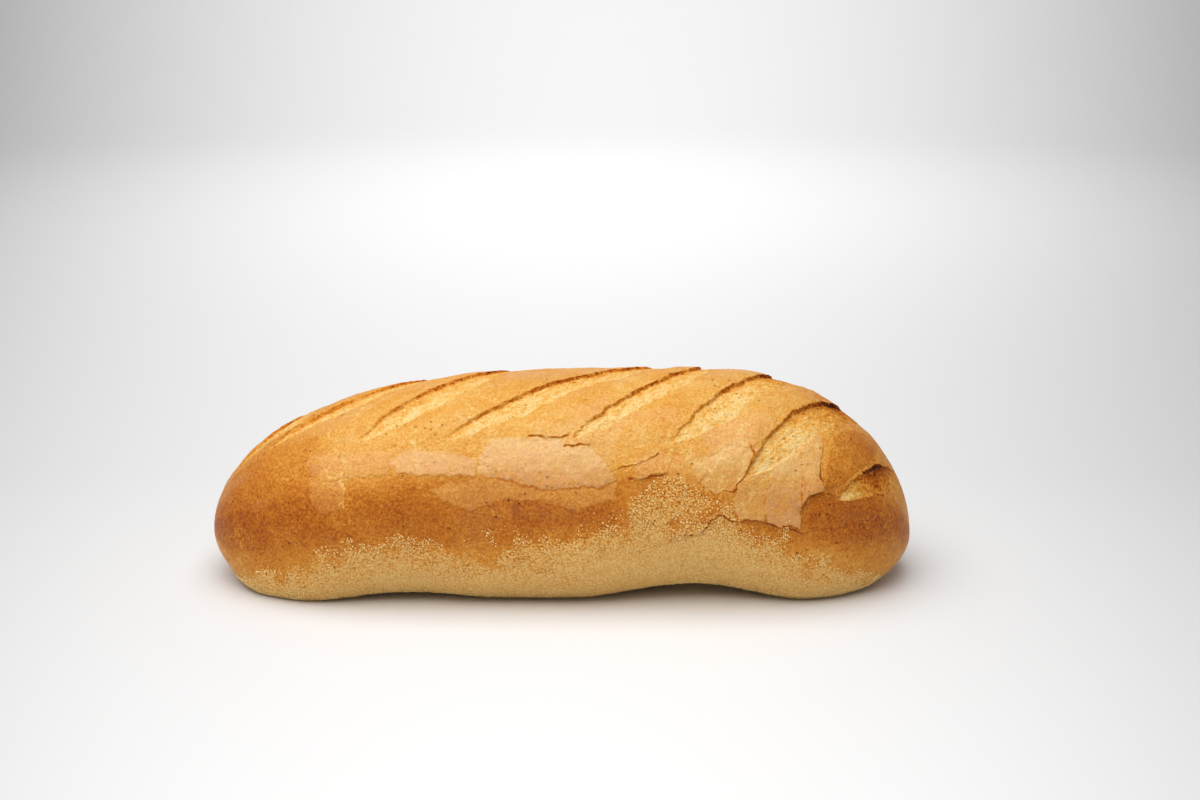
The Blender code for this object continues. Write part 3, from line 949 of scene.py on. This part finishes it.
def flat_map(mesh):
    """The crust laid flat: u runs along the loaf, v round it, with the cut under the sole."""
    full_round = SPLIT * CELLS_ROUND
    last = SPLIT * CELLS_OVER
    sizes = np.array([len(face) for face in lattice_faces])
    corners = np.array([corner for face in lattice_faces for corner in face])
    over, around = corners // full_round, corners % full_round
    widest = np.maximum.reduceat(around, np.cumsum(sizes) - sizes)
    around = np.where((around == 0) & (np.repeat(widest, sizes) > full_round / 2), full_round, around)
    fan = SPLIT * np.arange(CELLS_ROUND)[:, None]
    middle = fan + SPLIT / 2
    fan_around = np.concatenate([middle, fan, fan + SPLIT, middle, fan + SPLIT, fan], axis=1).ravel()
    fan_over = np.tile([-SPLIT, 0, 0, last + SPLIT, last, last], CELLS_ROUND)
    u = (np.concatenate([over, fan_over]) + SPLIT) / (last + 2 * SPLIT)
    v = np.concatenate([around, fan_around]) / full_round
    places = EDGE_OF_MAP + (1 - 2 * EDGE_OF_MAP) * np.stack([u, v], axis=1)
    mesh.uv_layers.new(name=BAKE_MAP).data.foreach_set("uv", places.ravel().astype(np.float32))


def skin_mesh():
    """The grid's faces, and a fan of triangles that closes each tip."""
    count = len(used)
    tips = [(-LENGTH / 2, 0, NOSE_HEIGHT[0]), (LENGTH / 2, 0, NOSE_HEIGHT[1])]
    points = np.concatenate([skin_points, tips])
    faces = [number_of[face].tolist() for face in lattice_faces]
    around = SPLIT * np.arange(CELLS_ROUND)[:, None] + [0, SPLIT]
    left = number_of[lattice_id(0, around)].tolist()
    right = number_of[lattice_id(SPLIT * CELLS_OVER, around)].tolist()
    for (left_from, left_to), (right_from, right_to) in zip(left, right):
        faces.append([count, left_from, left_to])
        faces.append([count + 1, right_to, right_from])
    mesh = new_mesh("loaf_skin", points.tolist(), faces)
    flat_map(mesh)
    mesh.shade_smooth()
    return mesh


loaf_mesh = skin_mesh()
skin_triangles = sum(len(face.vertices) - 2 for face in loaf_mesh.polygons)
print("skin", len(loaf_mesh.polygons), "faces,", skin_triangles, "triangles")

# %% [markdown]
# The masks are stored on the mesh as attributes, which the material reads by
# name. The smooth plates shine, and so do a few soft patches between them, most
# of all on the top and upper shoulders. Where the crust shines, the material
# also paints a pink sheen into its colour.

# %% Masks on the skin
TIP_BAKE = (0.6, 0.8)
EDGE_SHARE = 1.6
PATCH_SHINE_AND_SHEEN = 0.34
SHEEN_PATCH_LEVELS = (0.15, 0.75)
SHEEN_PATCH_BAND = (0.080, 0.062, 0.3)


def store(mesh, name, values):
    layer = mesh.attributes.new(name, "FLOAT", "POINT")
    layer.data.foreach_set("value", values.astype(np.float32))


edges = np.clip(EDGE_SHARE * np.maximum(masks["seam_shadow_and_scorch"], masks["lip"]), 0, 1)
# Patches of shine: they raise the coat and also paint a pink sheen into the colour
patch_shine_and_sheen = PATCH_SHINE_AND_SHEEN * smooth(*SHEEN_PATCH_LEVELS, rough(on_label(x_here, q_here), 0.020, 4, 92))
patch_shine_and_sheen = patch_shine_and_sheen * (1 - torn) * (1 - sand)
patch_shine_and_sheen = patch_shine_and_sheen * growing(*SHEEN_PATCH_BAND, np.abs(q_here))
shine = np.maximum(masks["shine"], patch_shine_and_sheen) * (1 - edges)
layers = {"bake": bake, "torn": torn, "sand": sand, "flour": flour, "edge": edges, "shine": shine}
for name, values in layers.items():
    store(loaf_mesh, name, np.concatenate([values, TIP_BAKE if name == "bake" else (0, 0)]))
loaf = placed("loaf_skin", loaf_mesh)
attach(loaf, "root")
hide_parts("loaf")
print("masks", ", ".join(layers))

# %% [markdown]
# Shaders are built from nodes, and these few helpers keep that short: they add a
# node, a sum or a soft step, and feed each input with a link or a plain value. A
# group is a box of nodes that can be used in more than one material.

# %% Helpers for shader nodes
def linear(red, green, blue):
    """A colour picked from a picture, in the 0 to 255 of screens, as light."""
    parts = [value / 255 for value in (red, green, blue)]
    light = [v / 12.92 if v <= 0.04045 else ((v + 0.055) / 1.055) ** 2.4 for v in parts]
    return (*light, 1.0)


def join(tree, value, socket):
    """Links an output to the socket, or stores a plain value on it."""
    if isinstance(value, bpy.types.NodeSocket):
        tree.links.new(value, socket)
    else:
        socket.default_value = value


def feed(tree, node, **settings):
    """Settings that name an input go into it, and the others are the node's properties."""
    for name, value in settings.items():
        title = name.replace("_", " ")
        if title in node.inputs:
            join(tree, value, node.inputs[title])
        else:
            setattr(node, name, value)
    return node


def put(tree, kind, **settings):
    return feed(tree, tree.nodes.new(kind), **settings)


def figure(tree, operation, *terms):
    """A Math node fed by outputs or numbers."""
    node = put(tree, "ShaderNodeMath", operation=operation)
    for value, socket in zip(terms, node.inputs):
        join(tree, value, socket)
    return node.outputs[0]


def product(tree, first, second):
    return figure(tree, "MULTIPLY", first, second)


def plus(tree, base, value, weight):
    """base + value * weight."""
    return figure(tree, "MULTIPLY_ADD", value, weight, base)


def eased(tree, value, low, high):
    """A soft step: 0 at low and 1 at high."""
    node = put(tree, "ShaderNodeMapRange", interpolation_type="SMOOTHSTEP", Value=value)
    feed(tree, node, From_Min=low, From_Max=high)
    return node.outputs["Result"]


def new_group(name, inputs, outputs):
    """A node group with named sockets; returns its tree, input node and output node."""
    tree = bpy.data.node_groups.new(name, "ShaderNodeTree")
    for title, kind, value in inputs:
        socket = tree.interface.new_socket(title, in_out="INPUT", socket_type=kind)
        socket.default_value = value
    for title, kind in outputs:
        tree.interface.new_socket(title, in_out="OUTPUT", socket_type=kind)
    return tree, tree.nodes.new("NodeGroupInput"), tree.nodes.new("NodeGroupOutput")


FLOAT = "NodeSocketFloat"
COLOUR = "NodeSocketColor"
print("node helpers ready in", bpy.app.version_string)

# %% [markdown]
# This group turns the bake number into colour, from pale crumb to scorched lip.
# A colour ramp is used because browning is a path through colours, not a mix of
# two. The crust and the semolina share it, so they brown alike.

# %% Group: the colour of baking
BROWNING = [
    (0.00, (252, 217, 148)),
    (0.16, (248, 202, 120)),
    (0.34, (240, 174, 76)),
    (0.50, (226, 146, 46)),
    (0.66, (202, 114, 22)),
    (0.80, (174, 84, 6)),
    (0.92, (122, 54, 2)),
    (1.00, (74, 34, 8)),
]

browning, given, result = new_group("browning", [("Bake", FLOAT, 0.4)], [("Colour", COLOUR)])
ramp = put(browning, "ShaderNodeValToRGB")
while len(ramp.color_ramp.elements) < len(BROWNING):
    ramp.color_ramp.elements.new(0.5)
for element, (position, shade) in zip(ramp.color_ramp.elements, BROWNING):
    element.position = position
    element.color = linear(*shade)
feed(browning, ramp, Fac=given.outputs["Bake"])
feed(browning, result, Colour=ramp.outputs["Color"])
print("browning runs through", len(BROWNING), "shades")

# %% [markdown]
# Seen close, crust is finely grained: mottled, blistered, with darker pores where
# bubbles burst, thin pale veins, specks, and dust of flour. One group makes them
# all from the place on the loaf, so the grain is the same size everywhere and
# never stretches. It also puts out a height for the bumps.

# %% Group: the grain of the crust
grain, given, result = new_group(
    "crust_grain",
    [("Size", FLOAT, 1.0)],
    [(title, FLOAT) for title in ("Mottle", "Pores", "Dust", "Veins", "Speckle", "Height")],
)
place = put(grain, "ShaderNodeTexCoord").outputs["Object"]
sized = put(grain, "ShaderNodeVectorMath", operation="SCALE", Scale=given.outputs["Size"])
join(grain, place, sized.inputs[0])
spot = sized.outputs[0]


def grain_noise(scale, detail, roughness):
    node = put(grain, "ShaderNodeTexNoise", Scale=scale, Detail=detail, Roughness=roughness, Vector=spot)
    return node.outputs["Fac"]


def grain_spots(scale, near, far):
    """1 inside small round spots, 0 outside, from the distance to scattered points."""
    node = put(grain, "ShaderNodeTexVoronoi", Scale=scale, Vector=spot)
    return eased(grain, node.outputs["Distance"], far, near)


def from_middle(tree, value):
    return figure(tree, "SUBTRACT", value, 0.5)


blisters = grain_noise(620, 4, 0.7)
pores = product(grain, grain_spots(260, 0.05, 0.19), eased(grain, grain_noise(60, 2, 0.5), 0.50, 0.62))
creases = figure(grain, "ABSOLUTE", from_middle(grain, grain_noise(70, 4, 0.55)))
in_places = eased(grain, grain_noise(42, 2, 0.5), 0.48, 0.66)
made = {
    "Mottle": grain_noise(170, 5, 0.62),
    "Speckle": grain_noise(800, 2, 0.7),
    "Pores": pores,
    "Dust": product(grain, grain_spots(1150, 0.14, 0.40), grain_noise(160, 3, 0.6)),
    "Veins": product(grain, eased(grain, creases, 0.022, 0.0), in_places),
    "Height": figure(grain, "SUBTRACT", blisters, product(grain, pores, 0.8)),
}
feed(grain, result, **made)
print("the grain has", len(made), "effects")

# %% [markdown]
# The crust itself: the stored bake number, shaken by the mottle, picks the
# colour. Pores pull it darker and dust paler. A thin baked glaze lies on the
# smooth plates, which is why they shine, and none on the torn crumb. Where the
# crust shines, a peach colour is mixed in too, as a painted sheen.

# %% Material: baked crust
def read(tree, name):
    """A mask that was stored on the mesh."""
    return put(tree, "ShaderNodeAttribute", attribute_name=name).outputs["Fac"]


def mixed(tree, share, first, second):
    node = put(tree, "ShaderNodeMix", data_type="RGBA", Factor=share)
    join(tree, first, node.inputs[6])
    join(tree, second, node.inputs[7])
    return node.outputs[2]


def new_material(name):
    material = bpy.data.materials.new(name)
    material.use_nodes = True
    return material, material.node_tree, material.node_tree.nodes["Principled BSDF"]


# Colour of the painted sheen
PAINTED_SHEEN_PEACH = linear(238, 180, 118)
FLOUR_COLOUR = linear(255, 219, 140)

crust_material, tree, shader = new_material("baked_crust")
texture = put(tree, "ShaderNodeGroup", node_tree=grain, Size=1.0).outputs
torn_here, sand_here, shine_here = (read(tree, name) for name in ("torn", "sand", "shine"))
bare = figure(tree, "MAXIMUM", torn_here, sand_here)
mottled = from_middle(tree, texture["Mottle"])
sandy_dust = product(tree, sand_here, texture["Dust"])
veins = product(tree, figure(tree, "SUBTRACT", 1.0, bare), texture["Veins"])
grainy = plus(tree, plus(tree, 0.68, sand_here, 1.1), torn_here, 0.45)
specks = product(tree, from_middle(tree, texture["Speckle"]), grainy)
# How much each of them bakes the crust further
BROWNED_BY = [(mottled, 0.27), (texture["Pores"], 0.24), (texture["Dust"], -0.16), (specks, 1.0),
              (sandy_dust, -0.80), (veins, -0.20)]
tone = read(tree, "bake")
for effect, weight in BROWNED_BY:
    tone = plus(tree, tone, effect, weight)
brown = put(tree, "ShaderNodeGroup", node_tree=browning, Bake=tone)
# Painted sheen: peach mixed into the colour where the crust shines, in place of the lamp's reflection
sheen_streaks = figure(tree, "MAXIMUM", plus(tree, 0.40, mottled, 1.6), 0.12)
with_painted_sheen = mixed(tree, product(tree, shine_here, sheen_streaks), brown.outputs["Colour"], PAINTED_SHEEN_PEACH)
floury = product(tree, read(tree, "flour"), plus(tree, 0.42, texture["Dust"], 2.6))
dull = 0.46
for effect, weight in ((torn_here, 0.28), (sand_here, 0.20), (texture["Mottle"], 0.12)):
    dull = plus(tree, dull, effect, weight)
uncoated = figure(tree, "MAXIMUM", bare, read(tree, "edge"))
coat = figure(tree, "MAXIMUM", plus(tree, 0.14, uncoated, -0.14), 0.0)
coat = plus(tree, coat, shine_here, 0.62)
bump = put(tree, "ShaderNodeBump", Strength=1.0, Distance=0.0014, Height=texture["Height"])
crust_colour = mixed(tree, floury, with_painted_sheen, FLOUR_COLOUR)
feed(tree, shader, Base_Color=crust_colour, Specular_IOR_Level=0.14, Roughness=dull)
feed(tree, shader, Coat_Weight=coat, Coat_Roughness=0.34, Normal=bump.outputs["Normal"])
loaf_mesh.materials.append(crust_material)
print("the crust's material has", len(tree.nodes), "nodes")

# %% [markdown]
# The semolina is real grains, not paint: coarse yellow bits of wheat, half to
# one millimetre across, pressed into the dough by the tray. Each is a chip with
# six small faces, laid on the skin. They are scattered by weight: the more sand
# the mask holds at a corner of the skin, the likelier that corner gets a grain.

# %% Semolina grains
GRAIN_COUNT = 32000
GRAIN_HALF = (0.00028, 0.00052)
GRAIN_FLATNESS = 0.85
SOLE_SHARE_OF_GRAINS = 0.06
BACK_SHARE_OF_GRAINS = 0.50
SOLE_EDGE_Q = 0.152
OFF_THE_TRAY = 0.0005
GRAIN_SINK = 0.12
GRAIN_SEED = 41
GRAIN_STRAY = 0.0005
GRAIN_RAGGED = 0.35
CLUMPS = (0.45, 1.2, 0.06)
EVEN_BELOW = (0.010, 0.030)
EVEN_SHARE = 0.6
CHIP_POINTS = np.array([(1, 0, 0), (0, 1, 0), (-1, 0, 0), (0, -1, 0), (0, 0, 1)], float)
CHIP_SIDES = np.array([(0, 1, 4), (1, 2, 4), (2, 3, 4), (3, 0, 4), (2, 1, 0), (3, 2, 0)])


def of_corners(mesh, name):
    values = np.empty(len(mesh.vertices) * 3)
    mesh.vertices.foreach_get(name, values)
    return values.reshape(-1, 3)


def lay_grains(centres, normals, halves, chance):
    """Six-sided chips as points and faces, each turned at random on its spot."""
    count = len(centres)
    first = np.cross(normals, chance.normal(size=centres.shape))
    first /= np.linalg.norm(first, axis=1, keepdims=True)
    second = np.cross(normals, first)
    ragged_by = 1 + GRAIN_RAGGED * chance.uniform(-1, 1, (count, len(CHIP_POINTS), 1))
    shape = CHIP_POINTS[None] * ragged_by * halves[:, None, None]
    points = centres[:, None] + shape[..., :1] * first[:, None] + shape[..., 1:2] * second[:, None]
    points = points + shape[..., 2:] * GRAIN_FLATNESS * normals[:, None]
    faces = CHIP_SIDES[None] + len(CHIP_POINTS) * np.arange(count)[:, None, None]
    return points.reshape(-1, 3), faces.reshape(-1, 3)


chance = np.random.default_rng(GRAIN_SEED)
corners = of_corners(loaf_mesh, "co")
normals = of_corners(loaf_mesh, "normal")
clump_level, clump_contrast, clump_least = CLUMPS
clumps = clump_level + clump_contrast * rough(skin_points, 0.006, 3, 91)
clumps = np.clip(clumps, clump_least, 1)
clumps = clumps + (1 - clumps) * EVEN_SHARE * smooth(*EVEN_BELOW, below_line)
on_side = np.where(q_here < 0, 1.0, BACK_SHARE_OF_GRAINS)
on_side = np.where(np.abs(q_here) > SOLE_EDGE_Q, SOLE_SHARE_OF_GRAINS, on_side)
weight = np.concatenate([sand * clumps * on_side, [0, 0]])
fine = np.zeros(len(corners), bool)
fine[:-2] = (used // (SPLIT * CELLS_ROUND) % SPLIT > 0) | (used % SPLIT > 0)
weight = np.where(fine, 0, weight) * np.where(corners[:, 2] < OFF_THE_TRAY, 0, 1)
picked = chance.choice(len(corners), size=GRAIN_COUNT, replace=False, p=weight / weight.sum())
jitter = chance.uniform(-1, 1, (GRAIN_COUNT, 3)) * GRAIN_STRAY
jitter -= np.sum(jitter * normals[picked], axis=1, keepdims=True) * normals[picked]
halves = chance.uniform(*GRAIN_HALF, GRAIN_COUNT)
raised = halves * GRAIN_FLATNESS * (1 - 2 * GRAIN_SINK)
centres = corners[picked] + jitter + normals[picked] * raised[:, None]
grain_points, grain_faces = lay_grains(centres, normals[picked], halves, chance)
grain_mesh = new_mesh("semolina", grain_points.tolist(), grain_faces.tolist())
store(grain_mesh, "tone", np.repeat(chance.uniform(0, 1, GRAIN_COUNT), len(CHIP_POINTS)))
semolina = placed("semolina", grain_mesh)
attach(semolina, "root")
print("grains", GRAIN_COUNT, "with", len(grain_mesh.polygons), "faces")

# %% [markdown]
# Each grain carries one random tone. The lower it is, the paler the grain, and
# the higher, the more it has toasted. That mix makes the sandy sparkle of the
# lower crust, which one flat colour would lose.

# %% Material: semolina
semolina_material, tree, shader = new_material("semolina")
tone = read(tree, "tone")
brown = put(tree, "ShaderNodeGroup", node_tree=browning, Bake=plus(tree, -0.18, tone, 0.50))
pale = plus(tree, 0.84, tone, -0.9)
grain_colour = mixed(tree, pale, brown.outputs["Colour"], linear(255, 226, 146))
feed(tree, shader, Base_Color=grain_colour, Roughness=0.55)
grain_mesh.materials.append(semolina_material)
print("the semolina's material has", len(tree.nodes), "nodes")

# %% [markdown]
# The studio is a white bowl: a wide flat floor that curves up far behind the
# loaf on every side, so there is no horizon line from any angle. Its white is
# painted a little greyer to the left and right of the camera's axis, as in the
# picture: painted shade where the lamps' light falls off.

# %% Stage
FLOOR_RADIUS = 1.6
BOWL_RADIUS = 0.9
BOWL_STEPS = 16
BOWL_SIDES = 96
WHITE = linear(234, 234, 234)
PAINTED_SHADE_BLACK = (0.0, 0.0, 0.0, 1.0)
MIDDLE_X = 0.035
LEAST_BACK = 0.6
PAINTED_FALLOFF = (-0.5, 1.7, 2.2)
DEEPEST_PAINTED_FALLOFF = 0.5


def bowl():
    """A flat disc that curves up into a wall, as rings of corners round its middle."""
    profile = [(FLOOR_RADIUS * 0.5, 0.0)]
    for step in range(BOWL_STEPS + 1):
        angle = math.pi / 2 * step / BOWL_STEPS
        profile.append((FLOOR_RADIUS + BOWL_RADIUS * math.sin(angle), BOWL_RADIUS * (1 - math.cos(angle))))
    points = [(0.0, 0.0, 0.0)]
    for radius, level in profile:
        for side in range(BOWL_SIDES):
            angle = 2 * math.pi * side / BOWL_SIDES
            points.append((radius * math.cos(angle), radius * math.sin(angle), level))
    faces = []
    for side in range(BOWL_SIDES):
        after = (side + 1) % BOWL_SIDES
        faces.append((0, 1 + side, 1 + after))
        for ring in range(len(profile) - 1):
            base = 1 + ring * BOWL_SIDES
            faces.append((base + side, base + BOWL_SIDES + side, base + BOWL_SIDES + after, base + after))
    mesh = new_mesh("studio_floor", points, faces)
    mesh.shade_smooth()
    return mesh


floor_mesh = bowl()
floor_material, tree, shader = new_material("studio_white")
at = put(tree, "ShaderNodeSeparateXYZ", Vector=put(tree, "ShaderNodeTexCoord").outputs["Object"])
aim_x = figure(tree, "SUBTRACT", at.outputs["X"], MIDDLE_X)
back = figure(tree, "MAXIMUM", figure(tree, "ADD", at.outputs["Y"], CAMERA_DISTANCE), LEAST_BACK)
aside = figure(tree, "POWER", figure(tree, "ABSOLUTE", figure(tree, "DIVIDE", aim_x, back)), 2.0)
from_y, greyer_back, greyer_aside = PAINTED_FALLOFF
growth = plus(tree, greyer_aside, figure(tree, "MAXIMUM", at.outputs["Y"], from_y), greyer_back)
# Painted shade: the floor greys away from the camera's axis, where the lamps' light falls off
painted_falloff_shade = figure(tree, "MINIMUM", product(tree, aside, growth), DEEPEST_PAINTED_FALLOFF)
feed(tree, shader, Base_Color=mixed(tree, painted_falloff_shade, WHITE, PAINTED_SHADE_BLACK), Roughness=0.7)
floor_mesh.materials.append(floor_material)
floor = placed("studio_floor", floor_mesh)
print("floor with", len(floor_mesh.polygons), "faces")

# %% [markdown]
# A large soft lamp hangs above and in front. Its reflection, together with the
# painted sheen of the shining patches, is the pale band on the upper shoulder. A
# second one brightens the wall behind the loaf, and the rest is even light from
# all round. The Standard view keeps colours as set.

# %% Light
# Name, place, aim, size and power
LAMPS = [
    ("top_softbox", (-0.30, -0.45, 1.25), (-0.30, -0.45, 0), (1.5, 1.8), 24.8),
    ("wall_lamp", (0.0, 0.9, 1.3), (0, 2.4, 0.45), (0.8, 0.5), 19.0),
]
AIR_STRENGTH = 0.32


def soft_lamp(name, place, aim, size, power):
    lamp = bpy.data.lights.new(name, "AREA")
    lamp.shape = "RECTANGLE"
    lamp.size, lamp.size_y = size
    lamp.energy = power
    lamp_object = placed(name, lamp)
    lamp_object.location = place
    way = Vector(place) - Vector(aim)
    lamp_object.rotation_euler = way.to_track_quat("Z", "Y").to_euler()


for lamp_row in LAMPS:
    soft_lamp(*lamp_row)
world = bpy.data.worlds.new("studio_air")
world.use_nodes = True
air = world.node_tree.nodes["Background"]
feed(world.node_tree, air, Color=(1.0, 1.0, 1.0, 1.0), Strength=AIR_STRENGTH)
bpy.context.scene.world = world
bpy.context.scene.view_settings.view_transform = "Standard"
print(len(LAMPS), "lamps and even air")
